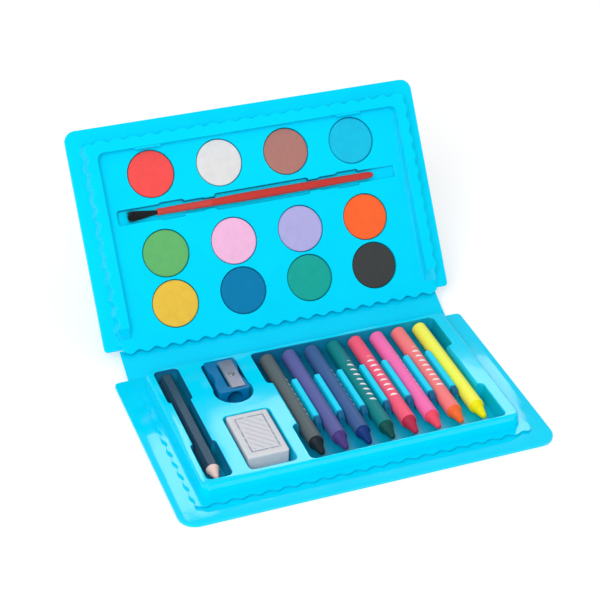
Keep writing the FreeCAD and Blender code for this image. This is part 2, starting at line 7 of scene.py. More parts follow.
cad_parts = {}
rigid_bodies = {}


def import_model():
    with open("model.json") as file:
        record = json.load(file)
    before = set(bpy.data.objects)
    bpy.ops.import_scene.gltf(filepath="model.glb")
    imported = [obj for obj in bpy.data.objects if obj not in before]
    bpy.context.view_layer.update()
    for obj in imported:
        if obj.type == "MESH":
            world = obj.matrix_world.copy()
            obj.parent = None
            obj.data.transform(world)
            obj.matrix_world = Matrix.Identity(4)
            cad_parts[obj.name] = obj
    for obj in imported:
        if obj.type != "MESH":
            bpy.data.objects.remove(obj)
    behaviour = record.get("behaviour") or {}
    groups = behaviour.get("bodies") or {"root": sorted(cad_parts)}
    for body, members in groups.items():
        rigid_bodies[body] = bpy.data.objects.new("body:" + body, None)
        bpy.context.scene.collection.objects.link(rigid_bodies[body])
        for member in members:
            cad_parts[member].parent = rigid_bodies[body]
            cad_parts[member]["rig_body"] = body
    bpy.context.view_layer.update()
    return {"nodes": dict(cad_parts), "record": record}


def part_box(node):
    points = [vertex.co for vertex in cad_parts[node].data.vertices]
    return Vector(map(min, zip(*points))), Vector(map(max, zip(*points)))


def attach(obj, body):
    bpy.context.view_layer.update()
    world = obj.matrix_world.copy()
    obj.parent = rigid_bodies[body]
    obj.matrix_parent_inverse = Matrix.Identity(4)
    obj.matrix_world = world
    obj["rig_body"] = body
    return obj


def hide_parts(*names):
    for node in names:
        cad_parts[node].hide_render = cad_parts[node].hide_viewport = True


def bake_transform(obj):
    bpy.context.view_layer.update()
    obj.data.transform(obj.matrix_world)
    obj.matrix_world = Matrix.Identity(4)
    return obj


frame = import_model()

MM = 0.001

# Sizes of the part that the scene follows, in millimetres and degrees
HALF_WIDTH = 100
PANEL_DEPTH = 119
LID_LEAN = 54.9
FOLD_SETBACK = 0.9
COVER_MIDDLE = 0.6
BASE_FLANGE, BASE_CORNER = 2.0, 9.0
LID_FLANGE, LID_CORNER = 0.8, 6.0
BRUSH_ROW, BRUSH_AXIS = 69, 3.5
PAPER_RADIUS = 4.0

# The leaning lid: x across, y away from its fold edge, z up from the underside of its formed sheet
FOLDS = {joint["name"]: Vector(joint["pos_m"]) for joint in frame["record"]["behaviour"]["joints"]
         if joint["type"] == "hinge"}
LID = (Matrix.Translation(FOLDS["lid_fold"]) @ Matrix.Rotation(math.radians(LID_LEAN), 4, "X")
       @ Matrix.Translation((0, FOLD_SETBACK * MM, COVER_MIDDLE * MM)))
# The lying base, drawn the same way from its own fold edge
BASE = Matrix.Translation((0, PANEL_DEPTH / 2 * MM, 0)) @ Matrix.Rotation(math.pi, 4, "Z")

PAINT_COLOURS = {
    "red": "F0504E", "white": "DBD9D9", "brown": "AC776F", "sky": "14BCDF",
    "green": "62B069", "pink": "EDB4D8", "lilac": "ADA9DC", "orange": "F9652F",
    "yellow": "E6BC42", "blue": "0279AA", "teal": "16A395", "black": "3E4040",
}
# Wrapper, wax, and how many degrees each crayon has rolled in its groove
CRAYONS = {
    "grey": ("5C6668", "1C2A32", 62), "purple": ("5C5F9F", "4B3880", 78),
    "blue": ("3E5E94", "0A3478", 66), "green": ("028084", "04504C", 12),
    "red": ("FF5C7C", "B82A4A", -6), "pink": ("FE70B4", "F54A66", 58),
    "orange": ("FF7E80", "F86C30", 4), "yellow": ("FAFA56", "F2E800", 170),
}


def linear(colour):
    """Linear values of an sRGB hex colour."""
    parts = [int(colour[i:i + 2], 16) / 255 for i in (0, 2, 4)]
    return tuple(c / 12.92 if c <= 0.04045 else ((c + 0.055) / 1.055) ** 2.4 for c in parts) + (1.0,)


def shade(colour, share):
    """The same colour, lighter or darker by a share."""
    return tuple(min(1.0, c * share) for c in linear(colour)[:3]) + (1.0,)


def add(tree, kind, inputs=None, **settings):
    """Adds a node with its settings and links."""
    made = tree.nodes.new(kind)
    for name, value in settings.items():
        setattr(made, name, value)
    for name, value in (inputs or {}).items():
        if isinstance(value, bpy.types.NodeSocket):
            tree.links.new(value, made.inputs[name])
        else:
            made.inputs[name].default_value = value
    return made


def start(name, **sockets):
    """A new material with its shader's plain values, and where a point lies on the piece."""
    made = bpy.data.materials.new(name)
    made.use_nodes = True
    tree = made.node_tree
    shader = tree.nodes["Principled BSDF"]
    for socket, value in sockets.items():
        shader.inputs[socket.replace("_", " ")].default_value = value
    place = add(tree, "ShaderNodeTexCoord").outputs["Object"]
    return made, tree, shader, place


# Finishes

def formed_polystyrene(name, colour, painted_shade_colour):
    """Polystyrene sheet drawn hot over a mould: a gloss that wanders slowly, a faint peel, matt where the
    sheet met the mould first, and painted shade, a deeper and duller tone in pockets and shaded places."""
    made, tree, shader, place = start(name, IOR=1.59, Specular_IOR_Level=0.22)
    slow = add(tree, "ShaderNodeTexNoise", {"Vector": place, "Scale": 1 / (28 * MM), "Detail": 2.0})
    peel = add(tree, "ShaderNodeTexNoise", {"Vector": place, "Scale": 1 / (1.6 * MM), "Detail": 1.0})
    tone = add(tree, "ShaderNodeMix",
               {0: slow.outputs["Fac"], 6: shade(colour, 0.95), 7: shade(colour, 1.05)},
               data_type="RGBA")
    # Painted shade: the share of the darker, duller shade tone, written on the points of each piece
    drawn = add(tree, "ShaderNodeAttribute", attribute_name="painted_shade")
    painted_shade_tone = add(tree, "ShaderNodeMix", {0: drawn.outputs["Fac"], 6: tone.outputs[2], 7: linear(painted_shade_colour)},
               data_type="RGBA")
    tree.links.new(painted_shade_tone.outputs[2], shader.inputs["Base Color"])
    gloss = add(tree, "ShaderNodeMapRange", {"Value": slow.outputs["Fac"], "To Min": 0.03, "To Max": 0.09})
    dull = add(tree, "ShaderNodeMath", {0: drawn.outputs["Fac"], 1: 0.5, 2: gloss.outputs["Result"]},
               operation="MULTIPLY_ADD")
    met = add(tree, "ShaderNodeAttribute", attribute_name="matt")
    rough = add(tree, "ShaderNodeMath",
                {0: met.outputs["Fac"], 1: 0.4, 2: dull.outputs[0]}, operation="MULTIPLY_ADD")
    tree.links.new(rough.outputs[0], shader.inputs["Roughness"])
    drift = add(tree, "ShaderNodeBump",
                {"Height": slow.outputs["Fac"], "Strength": 0.3, "Distance": 0.4 * MM})
    skin = add(tree, "ShaderNodeBump", {"Height": peel.outputs["Fac"], "Strength": 0.05,
                                        "Distance": 0.05 * MM, "Normal": drift.outputs["Normal"]})
    tree.links.new(skin.outputs["Normal"], shader.inputs["Normal"])
    return made


def pressed_paint(name, colour):
    """Watercolour pressed dry into a cake: dead matt, grainy, a little mottled, painted shade at its rim.
    """
    made, tree, shader, place = start(name, Specular_IOR_Level=0.2)
    cloud = add(tree, "ShaderNodeTexNoise", {"Vector": place, "Scale": 1 / (4 * MM), "Detail": 3.0})
    # Pigment grains of 0.1 mm are drawn at 0.5 mm so that they show
    grain = add(tree, "ShaderNodeTexNoise", {"Vector": place, "Scale": 1 / (0.5 * MM), "Detail": 2.0})
    both = add(tree, "ShaderNodeMath", {0: cloud.outputs["Fac"], 1: grain.outputs["Fac"]}, operation="ADD")
    half = add(tree, "ShaderNodeMath", {0: both.outputs[0], 1: 0.5}, operation="MULTIPLY")
    spread = add(tree, "ShaderNodeMapRange", {"Value": half.outputs[0], "From Min": 0.3, "From Max": 0.7})
    face = add(tree, "ShaderNodeMix",
               {0: spread.outputs["Result"], 6: shade(colour, 0.93), 7: shade(colour, 1.08)},
               data_type="RGBA")
    # Painted shade darkens the cake's rim, where the gap to its well lies in shadow
    rim = add(tree, "ShaderNodeAttribute", attribute_name="rim")
    whole = add(tree, "ShaderNodeMix", {0: rim.outputs["Fac"], 6: face.outputs[2], 7: shade(colour, 0.6)},
                data_type="RGBA")
    tree.links.new(whole.outputs[2], shader.inputs["Base Color"])
    rough = add(tree, "ShaderNodeMapRange", {"Value": grain.outputs["Fac"], "To Min": 0.85, "To Max": 1.0})
    tree.links.new(rough.outputs["Result"], shader.inputs["Roughness"])
    bump = add(tree, "ShaderNodeBump", {"Height": half.outputs[0], "Strength": 0.5, "Distance": 0.12 * MM})
    tree.links.new(bump.outputs["Normal"], shader.inputs["Normal"])
    return made


def cast_wax(name, colour):
    """Crayon wax cast in a mould: satin, faintly cloudy, with a soft glow under the skin."""
    made, tree, shader, place = start(name, IOR=1.44, Specular_IOR_Level=0.25, Subsurface_Weight=0.08,
                                      Subsurface_Scale=1 * MM)
    cloud = add(tree, "ShaderNodeTexNoise", {"Vector": place, "Scale": 1 / (3 * MM), "Detail": 3.0})
    tone = add(tree, "ShaderNodeMix",
               {0: cloud.outputs["Fac"], 6: shade(colour, 0.85), 7: shade(colour, 1.15)},
               data_type="RGBA")
    tree.links.new(tone.outputs[2], shader.inputs["Base Color"])
    rough = add(tree, "ShaderNodeMapRange", {"Value": cloud.outputs["Fac"], "To Min": 0.35, "To Max": 0.6})
    tree.links.new(rough.outputs["Result"], shader.inputs["Roughness"])
    bump = add(tree, "ShaderNodeBump",
               {"Height": cloud.outputs["Fac"], "Strength": 0.3, "Distance": 0.1 * MM})
    tree.links.new(bump.outputs["Normal"], shader.inputs["Normal"])
    return made


def printed_wrapper(name, colour, axis, roll):
    """Coated paper rolled round the wax: satin with fine fibres and a row of white leaves printed along one
    side."""
    leaf_pitch, leaf_reach, leaf_width = 4.4, 2.2, 0.75
    row_middle, row_reach = 10.0, 18.2
    made, tree, shader, place = start(name, Specular_IOR_Level=0.35)
    onto = add(tree, "ShaderNodeMapping",
               {"Vector": place, "Location": axis, "Rotation": (0, math.radians(roll), 0)},
               vector_type="TEXTURE")
    spot = add(tree, "ShaderNodeSeparateXYZ", {"Vector": onto.outputs["Vector"]})
    angle = add(tree, "ShaderNodeMath", {0: spot.outputs["X"], 1: spot.outputs["Z"]}, operation="ARCTAN2")
    # Across the print and along it, in millimetres on the paper
    across = add(tree, "ShaderNodeMath", {0: angle.outputs[0], 1: PAPER_RADIUS}, operation="MULTIPLY")
    along = add(tree, "ShaderNodeMath", {0: spot.outputs["Y"], 1: 1 / MM}, operation="MULTIPLY")
    slant = add(tree, "ShaderNodeMath", {0: across.outputs[0], 1: 0.15, 2: along.outputs[0]},
                operation="MULTIPLY_ADD")
    pitch = add(tree, "ShaderNodeMath", {0: slant.outputs[0], 1: 1 / leaf_pitch}, operation="MULTIPLY")
    step = add(tree, "ShaderNodeMath", {0: pitch.outputs[0]}, operation="FRACT")
    centre = add(tree, "ShaderNodeMath", {0: step.outputs[0], 1: 0.5}, operation="SUBTRACT")
    away = add(tree, "ShaderNodeMath", {0: centre.outputs[0]}, operation="ABSOLUTE")
    wide = add(tree, "ShaderNodeMath", {0: away.outputs[0], 1: leaf_pitch}, operation="MULTIPLY")
    lift = add(tree, "ShaderNodeMath", {0: across.outputs[0], 1: 1 / leaf_reach}, operation="MULTIPLY")
    curve = add(tree, "ShaderNodeMath", {0: lift.outputs[0], 1: lift.outputs[0]}, operation="MULTIPLY")
    leaf = add(tree, "ShaderNodeMath", {0: curve.outputs[0], 1: -leaf_width, 2: leaf_width},
               operation="MULTIPLY_ADD")
    inside = add(tree, "ShaderNodeMath", {0: wide.outputs[0], 1: leaf.outputs[0]}, operation="LESS_THAN")
    row = add(tree, "ShaderNodeMath",
              {0: along.outputs[0], 1: row_middle, 2: row_reach}, operation="COMPARE")
    ink = add(tree, "ShaderNodeMath", {0: inside.outputs[0], 1: row.outputs[0]}, operation="MULTIPLY")
    fibre = add(tree, "ShaderNodeTexNoise",
                {"Vector": onto.outputs["Vector"], "Scale": 1 / (0.8 * MM), "Detail": 4.0})
    paper = add(tree, "ShaderNodeMix",
                {0: fibre.outputs["Fac"], 6: shade(colour, 0.93), 7: shade(colour, 1.07)},
                data_type="RGBA")
    whole = add(tree, "ShaderNodeMix", {0: ink.outputs[0], 6: paper.outputs[2], 7: linear("F1EDEC")},
                data_type="RGBA")
    tree.links.new(whole.outputs[2], shader.inputs["Base Color"])
    rough = add(tree, "ShaderNodeMapRange", {"Value": fibre.outputs["Fac"], "To Min": 0.36, "To Max": 0.52})
    tree.links.new(rough.outputs["Result"], shader.inputs["Roughness"])
    bump = add(tree, "ShaderNodeBump",
               {"Height": fibre.outputs["Fac"], "Strength": 0.25, "Distance": 0.04 * MM})
    tree.links.new(bump.outputs["Normal"], shader.inputs["Normal"])
    return made


def moulded_polystyrene(name, colour, roughness):
    """Polystyrene shot into a polished mould: high gloss, faint flow marks and a few handling scuffs."""
    made, tree, shader, place = start(name, IOR=1.59, Specular_IOR_Level=0.15)
    flow = add(tree, "ShaderNodeTexNoise",
               {"Vector": place, "Scale": 1 / (7 * MM), "Detail": 2.0, "Distortion": 0.6})
    scuff = add(tree, "ShaderNodeTexNoise", {"Vector": place, "Scale": 1 / (0.9 * MM), "Detail": 3.0})
    tone = add(tree, "ShaderNodeMix",
               {0: flow.outputs["Fac"], 6: shade(colour, 0.94), 7: shade(colour, 1.06)},
               data_type="RGBA")
    tree.links.new(tone.outputs[2], shader.inputs["Base Color"])
    rough = add(tree, "ShaderNodeMapRange",
                {"Value": scuff.outputs["Fac"], "From Min": 0.35, "From Max": 0.7,
                 "To Min": roughness, "To Max": roughness + 0.06})
    tree.links.new(rough.outputs["Result"], shader.inputs["Roughness"])
    bump = add(tree, "ShaderNodeBump",
               {"Height": flow.outputs["Fac"], "Strength": 0.15, "Distance": 0.1 * MM})
    tree.links.new(bump.outputs["Normal"], shader.inputs["Normal"])
    return made


def dyed_nylon(name, colour):
    """Drawn nylon hair, dyed: satin, each hair a little lighter or darker, streaked along its length."""
    made, tree, shader, place = start(name, IOR=1.53, Specular_IOR_Level=0.35)
    along = add(tree, "ShaderNodeMapping", {"Vector": place, "Scale": (0.08, 1.0, 1.0)})
    # Hairs of 0.15 mm are streaked at 0.4 mm so that they show
    streak = add(tree, "ShaderNodeTexNoise", {"Vector": along.outputs["Vector"], "Scale": 1 / (0.4 * MM)})
    tone = add(tree, "ShaderNodeMix",
               {0: streak.outputs["Fac"], 6: shade(colour, 0.5), 7: shade(colour, 1.8)},
               data_type="RGBA")
    tree.links.new(tone.outputs[2], shader.inputs["Base Color"])
    rough = add(tree, "ShaderNodeMapRange", {"Value": streak.outputs["Fac"], "To Min": 0.4, "To Max": 0.65})
    tree.links.new(rough.outputs["Result"], shader.inputs["Roughness"])
    return made


def dipped_lacquer(name, colour):
    """Pencil barrel dipped in coats of lacquer: gloss, long ripples along the wood, paler where handled."""
    made, tree, shader, place = start(name, IOR=1.5, Specular_IOR_Level=0.35, Coat_Weight=0.1,
                                      Coat_Roughness=0.12)
    along = add(tree, "ShaderNodeMapping", {"Vector": place, "Scale": (1.0, 0.06, 1.0)})
    ripple = add(tree, "ShaderNodeTexNoise",
                 {"Vector": along.outputs["Vector"], "Scale": 1 / (1.2 * MM), "Detail": 2.0})
    wear = add(tree, "ShaderNodeTexNoise", {"Vector": place, "Scale": 1 / (9 * MM), "Detail": 4.0})
    tone = add(tree, "ShaderNodeMix",
               {0: wear.outputs["Fac"], 6: shade(colour, 0.8), 7: shade(colour, 1.3)},
               data_type="RGBA")
    tree.links.new(tone.outputs[2], shader.inputs["Base Color"])
    rough = add(tree, "ShaderNodeMapRange", {"Value": wear.outputs["Fac"], "To Min": 0.25, "To Max": 0.45})
    tree.links.new(rough.outputs["Result"], shader.inputs["Roughness"])
    bump = add(tree, "ShaderNodeBump",
               {"Height": ripple.outputs["Fac"], "Strength": 0.3, "Distance": 0.06 * MM})
    tree.links.new(bump.outputs["Normal"], shader.inputs["Normal"])
    return made


def shaved_limewood(name, pale, dark):
    """Limewood cut to a cone by a sharpener: pale, matt, fine grain along it and cutter rings round it."""
    made, tree, shader, place = start(name, Specular_IOR_Level=0.25)
    along = add(tree, "ShaderNodeMapping", {"Vector": place, "Scale": (1.0, 0.1, 1.0)})
    # Grain lines of 0.2 mm are drawn at 0.6 mm so that they show
    grain = add(tree, "ShaderNodeTexNoise",
                {"Vector": along.outputs["Vector"], "Scale": 1 / (0.6 * MM), "Detail": 3.0})
    rings = add(tree, "ShaderNodeTexWave", {"Vector": place, "Scale": 0.3 / (0.7 * MM), "Distortion": 1.0},
                bands_direction="Y")
    tone = add(tree, "ShaderNodeMix",
               {0: grain.outputs["Fac"], 6: linear(dark), 7: linear(pale)}, data_type="RGBA")
    tree.links.new(tone.outputs[2], shader.inputs["Base Color"])
    rough = add(tree, "ShaderNodeMapRange", {"Value": grain.outputs["Fac"], "To Min": 0.6, "To Max": 0.8})
    tree.links.new(rough.outputs["Result"], shader.inputs["Roughness"])
    bump = add(tree, "ShaderNodeBump",
               {"Height": rings.outputs["Fac"], "Strength": 0.25, "Distance": 0.05 * MM})
    tree.links.new(bump.outputs["Normal"], shader.inputs["Normal"])
    return made


def ground_steel(name, colour, scratch):
    """Carbon steel ground in one direction: grey shine broken by fine scratches; scratch stretches them."""
    made, tree, shader, place = start(name, Metallic=1.0)
    along = add(tree, "ShaderNodeMapping", {"Vector": place, "Scale": scratch})
    # Grinding marks of 0.05 mm are drawn at 0.3 mm so that they show
    marks = add(tree, "ShaderNodeTexNoise",
                {"Vector": along.outputs["Vector"], "Scale": 1 / (0.3 * MM), "Detail": 3.0})
    stain = add(tree, "ShaderNodeTexNoise", {"Vector": place, "Scale": 1 / (5 * MM), "Detail": 2.0})
    tone = add(tree, "ShaderNodeMix",
               {0: stain.outputs["Fac"], 6: shade(colour, 0.85), 7: shade(colour, 1.15)},
               data_type="RGBA")
    tree.links.new(tone.outputs[2], shader.inputs["Base Color"])
    rough = add(tree, "ShaderNodeMapRange", {"Value": marks.outputs["Fac"], "To Min": 0.25, "To Max": 0.5})
    tree.links.new(rough.outputs["Result"], shader.inputs["Roughness"])
    bump = add(tree, "ShaderNodeBump",
               {"Height": marks.outputs["Fac"], "Strength": 0.35, "Distance": 0.03 * MM})
    tree.links.new(bump.outputs["Normal"], shader.inputs["Normal"])
    return made


def printed_vinyl(name, colour, block_middle, top):
    """Soft vinyl cut to a block: chalky and matt, rubbed grey in places, with a plain frame and hatching
    printed thinly on its top."""
    field_reach, frame_reach, frame_line = 12.0, 13.4, 0.45
    longer, hatch_pitch, hatch_share = 6.0, 4.4, 0.35
    made, tree, shader, place = start(name, IOR=1.5, Specular_IOR_Level=0.3, Subsurface_Weight=0.1,
                                      Subsurface_Scale=2 * MM)
    onto = add(tree, "ShaderNodeMapping",
               {"Vector": place, "Location": block_middle, "Scale": (MM, MM, MM)},
               vector_type="TEXTURE")
    spot = add(tree, "ShaderNodeSeparateXYZ", {"Vector": onto.outputs["Vector"]})
    wide = add(tree, "ShaderNodeMath", {0: spot.outputs["X"]}, operation="ABSOLUTE")
    long = add(tree, "ShaderNodeMath", {0: spot.outputs["Y"]}, operation="ABSOLUTE")
    side = add(tree, "ShaderNodeMath", {0: wide.outputs[0], 1: longer}, operation="ADD")
    edge = add(tree, "ShaderNodeMath", {0: side.outputs[0], 1: long.outputs[0]}, operation="MAXIMUM")
    border = add(tree, "ShaderNodeMath", {0: edge.outputs[0], 1: frame_reach, 2: frame_line},
                 operation="COMPARE")
    field = add(tree, "ShaderNodeMath", {0: edge.outputs[0], 1: field_reach}, operation="LESS_THAN")
    lean = add(tree, "ShaderNodeMath", {0: spot.outputs["X"], 1: spot.outputs["Y"]}, operation="ADD")
    pitch = add(tree, "ShaderNodeMath", {0: lean.outputs[0], 1: 1 / hatch_pitch}, operation="MULTIPLY")
    step = add(tree, "ShaderNodeMath", {0: pitch.outputs[0]}, operation="FRACT")
    stripe = add(tree, "ShaderNodeMath", {0: step.outputs[0], 1: hatch_share}, operation="LESS_THAN")
    hatch = add(tree, "ShaderNodeMath", {0: stripe.outputs[0], 1: field.outputs[0]}, operation="MULTIPLY")
    above = add(tree, "ShaderNodeMath", {0: spot.outputs["Z"], 1: top}, operation="GREATER_THAN")
    rub = add(tree, "ShaderNodeTexNoise", {"Vector": place, "Scale": 1 / (2.2 * MM), "Detail": 4.0})
    kept = add(tree, "ShaderNodeMapRange", {"Value": rub.outputs["Fac"], "From Min": 0.3, "From Max": 0.5})
    thin = add(tree, "ShaderNodeMath",
               {0: kept.outputs["Result"], 1: above.outputs[0]}, operation="MULTIPLY")
    hatched = add(tree, "ShaderNodeMath", {0: hatch.outputs[0], 1: thin.outputs[0]}, operation="MULTIPLY")
    framed = add(tree, "ShaderNodeMath", {0: border.outputs[0], 1: thin.outputs[0]}, operation="MULTIPLY")
    body = add(tree, "ShaderNodeMix",
               {0: rub.outputs["Fac"], 6: shade(colour, 0.92), 7: shade(colour, 1.06)},
               data_type="RGBA")
    lined = add(tree, "ShaderNodeMix", {0: hatched.outputs[0], 6: body.outputs[2], 7: linear("C6C1CA")},
                data_type="RGBA")
    whole = add(tree, "ShaderNodeMix", {0: framed.outputs[0], 6: lined.outputs[2], 7: linear("9A9AA8")},
                data_type="RGBA")
    tree.links.new(whole.outputs[2], shader.inputs["Base Color"])
    rough = add(tree, "ShaderNodeMapRange", {"Value": rub.outputs["Fac"], "To Min": 0.55, "To Max": 0.8})
    tree.links.new(rough.outputs["Result"], shader.inputs["Roughness"])
    bump = add(tree, "ShaderNodeBump",
               {"Height": rub.outputs["Fac"], "Strength": 0.25, "Distance": 0.1 * MM})
    tree.links.new(bump.outputs["Normal"], shader.inputs["Normal"])
    return made


# Pieces

def select_only(piece):
    bpy.ops.object.select_all(action="DESELECT")
    piece.select_set(True)
    bpy.context.view_layer.objects.active = piece


def middle(node):
    """The middle of a node's box at rest."""
    low, high = (Vector(corner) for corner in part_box(node))
    return (low + high) / 2


def dressed(piece, node, finish):
    """The piece stands for the node, moves with its body and takes its finish."""
    piece.data.materials.clear()
    piece.data.materials.append(finish)
    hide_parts(node)
    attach(piece, frame["nodes"][node]["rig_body"])
    return piece


def copied(pattern, name, place):
    """A copy of a pattern with its own mesh, set in place."""
    piece = bpy.data.objects.new(name, pattern.data.copy())
    bpy.context.collection.objects.link(piece)
    piece.matrix_world = place
    select_only(piece)
    bpy.ops.object.transform_apply()
    return piece


def marked(piece, attribute, share):
    """Writes a share from 0 to 1 on each point of a mesh, for its finish to read."""
    layer = piece.data.attributes.new(attribute, "FLOAT", "POINT")
    layer.data.foreach_set("value", [float(share(v.co)) for v in piece.data.vertices])


def pick_faces(piece, wanted):
    """Opens a mesh for editing with only those faces selected whose middle passes a test."""
    for part in (piece.data.vertices, piece.data.edges):
        part.foreach_set("select", [False] * len(part))
    for face in piece.data.polygons:
        face.select = bool(wanted(face.center))
    bpy.context.tool_settings.mesh_select_mode = (False, False, True)
    bpy.ops.object.mode_set(mode="EDIT")
    bpy.ops.mesh.select_mode(type="FACE")


def softened(node, name, finish, width, reshape=None):
    """A copy of a solid with its flats merged, its edges eased and its rounds shaded smooth."""
    edge_angle = math.radians(35)
    piece = copied(frame["nodes"][node], name, Matrix())
    bpy.ops.mesh.customdata_custom_splitnormals_clear()
    bpy.ops.object.mode_set(mode="EDIT")
    bpy.ops.mesh.select_all(action="SELECT")
    bpy.ops.mesh.remove_doubles(threshold=0.002 * MM)
    bpy.ops.mesh.dissolve_limited(angle_limit=math.radians(0.5))
    # Shorter edges go, since the shortest one limits how far every edge of the piece can be eased
    bpy.ops.mesh.dissolve_degenerate(threshold=0.16 * MM)
    bpy.ops.object.mode_set(mode="OBJECT")
    if reshape:
        reshape(piece)
    ease = piece.modifiers.new("ease", "BEVEL")
    ease.width = width * MM
    ease.segments = 2
    ease.limit_method = "ANGLE"
    ease.angle_limit = edge_angle
    bpy.ops.object.modifier_apply(modifier="ease")
    bpy.ops.object.shade_smooth_by_angle(angle=edge_angle)
    flats = piece.modifiers.new("flats", "WEIGHTED_NORMAL")
    flats.keep_sharp = True
    flats.weight = 100
    bpy.ops.object.modifier_apply(modifier="flats")
    return dressed(piece, node, finish)


def drawn_out(name, stations, sides):
    """A disc drawn out along y from radius to radius, closed at both ends; stations in millimetres."""
    bpy.ops.object.select_all(action="DESELECT")
    begin, radius = stations[0]
    bpy.ops.mesh.primitive_circle_add(vertices=sides, radius=radius * MM, fill_type="NGON",
                                      location=(0, begin * MM, 0), rotation=(math.pi / 2, 0, 0))
    piece = bpy.context.object
    piece.name = name
    bpy.ops.object.transform_apply()
    bpy.ops.object.mode_set(mode="EDIT")
    bpy.ops.mesh.select_all(action="SELECT")
    for (before, wide), (after, narrow) in zip(stations, stations[1:]):
        bpy.ops.mesh.extrude_region_move(TRANSFORM_OT_translate={"value": (0, (after - before) * MM, 0)})
        share = narrow / wide
        bpy.ops.transform.resize(value=(share, 1, share), center_override=(0, after * MM, 0))
    bpy.ops.mesh.select_all(action="SELECT")
    bpy.ops.mesh.normals_make_consistent(inside=False)
    bpy.ops.object.mode_set(mode="OBJECT")
    bpy.ops.object.shade_smooth_by_angle(angle=math.radians(40))
    return piece


# Case

def fold_lip(finish):
    """Scalloped lip of the paint panel that hangs over the lid's fold."""
    pitch, count, left = 9.15, 20, -91.0
    back, reach, swell, top, thick = 2.6, 4.7, 0.9, 3.42, 2.3
    bpy.ops.object.select_all(action="DESELECT")
    bpy.ops.mesh.primitive_grid_add(x_subdivisions=12, y_subdivisions=6, size=MM)
    lip = bpy.context.object
    lip.name = "lid_fold_lip"
    for v in lip.data.vertices:
        share = 0.5 - v.co.y / MM
        swing = math.cos(2 * math.pi * v.co.x / MM)
        v.co = Vector((v.co.x * pitch, (back - (reach + swell * swing * share) * share) * MM, top * MM))
    row = lip.modifiers.new("row", "ARRAY")
    row.count = count
    row.use_merge_vertices = True
    row.merge_threshold = 0.01 * MM
    bpy.ops.object.modifier_apply(modifier="row")
    wall = lip.modifiers.new("wall", "SOLIDIFY")
    wall.thickness = thick * MM
    wall.offset = -1.0
    bpy.ops.object.modifier_apply(modifier="wall")
    ease = lip.modifiers.new("ease", "BEVEL")
    ease.width = 0.45 * MM
    ease.segments = 3
    ease.limit_method = "ANGLE"
    ease.angle_limit = math.radians(50)
    bpy.ops.object.modifier_apply(modifier="ease")
    bpy.ops.object.shade_smooth_by_angle(angle=math.radians(40))
    lip.matrix_world = LID @ Matrix.Translation(((left + pitch / 2) * MM, 0, 0))
    bpy.ops.object.transform_apply()
    # Painted shade on the lip's turned down edge
    marked(lip, "painted_shade", lip_painted_shade)
    lip.data.materials.append(finish)
    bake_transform(lip)


def rolled_edge(tray, place, level, corner):
    """Turns the outer edge of a flange down a little, as the sheet leaves its mould."""
    wide, drop, near = 3.2, 0.28, 0.05
    inward = place.inverted()
    for cut in (wide, wide / 2):
        for spot, way in (((HALF_WIDTH - cut, 0, 0), (1, 0, 0)), ((cut - HALF_WIDTH, 0, 0), (1, 0, 0)),
                          ((0, PANEL_DEPTH - cut, 0), (0, 1, 0))):
            pick_faces(tray, lambda centre: abs((inward @ centre).z - level * MM) < near * MM)
            bpy.ops.mesh.bisect(plane_co=place @ (Vector(spot) * MM), plane_no=place.to_3x3() @ Vector(way))
            bpy.ops.object.mode_set(mode="OBJECT")
    for v in tray.data.vertices:
        spot = inward @ v.co / MM
        edge = corner - math.hypot(max(0, abs(spot.x) - HALF_WIDTH + corner),
                                   max(0, spot.y - PANEL_DEPTH + corner))
        if abs(spot.z - level) < near and edge < wide:
            v.co -= place.to_3x3() @ Vector((0, 0, drop * MM)) * (1 - edge / wide) ** 2


# The bars between two crayons lie between these, in millimetres
BARS_LEFT, BARS_RIGHT, BARS_FRONT, BARS_BACK = -17, 67, -14.5, 23
BAR_LEVEL = 9


def base_shape(tray):
    """Rounds the front end of each bar between two crayons down towards the trough, and rolls the flange's
    edge."""
    round_start, round_length, round_drop = -9.2, 4.7, 2.8
    for cut in (round_start, -10.6, -11.8, -12.8):
        pick_faces(tray, lambda centre: (BARS_LEFT < centre.x / MM < BARS_RIGHT and centre.z > 3 * MM
                                         and BARS_FRONT < centre.y / MM < BARS_BACK))
        bpy.ops.mesh.bisect(plane_co=(0, cut * MM, 0), plane_no=(0, 1, 0))
        bpy.ops.object.mode_set(mode="OBJECT")
    for v in tray.data.vertices:
        spot = v.co / MM
        ahead = BARS_FRONT < spot.y < round_start - 0.1
        if ahead and BARS_LEFT < spot.x < BARS_RIGHT and spot.z > BAR_LEVEL:
            turn = min(1.0, (round_start - spot.y) / round_length)
            v.co.z -= round_drop * (1 - math.sqrt(1 - turn * turn)) * MM
    rolled_edge(tray, BASE, BASE_FLANGE, BASE_CORNER)


def lid_shape(tray):
    rolled_edge(tray, LID, LID_FLANGE, LID_CORNER)


def on_divider(point):
    """Whether a point lies on the flat top of a bar between two crayons."""
    spot = point / MM
    return BARS_LEFT < spot.x < BARS_RIGHT and -10 < spot.y < BARS_BACK and spot.z > BAR_LEVEL


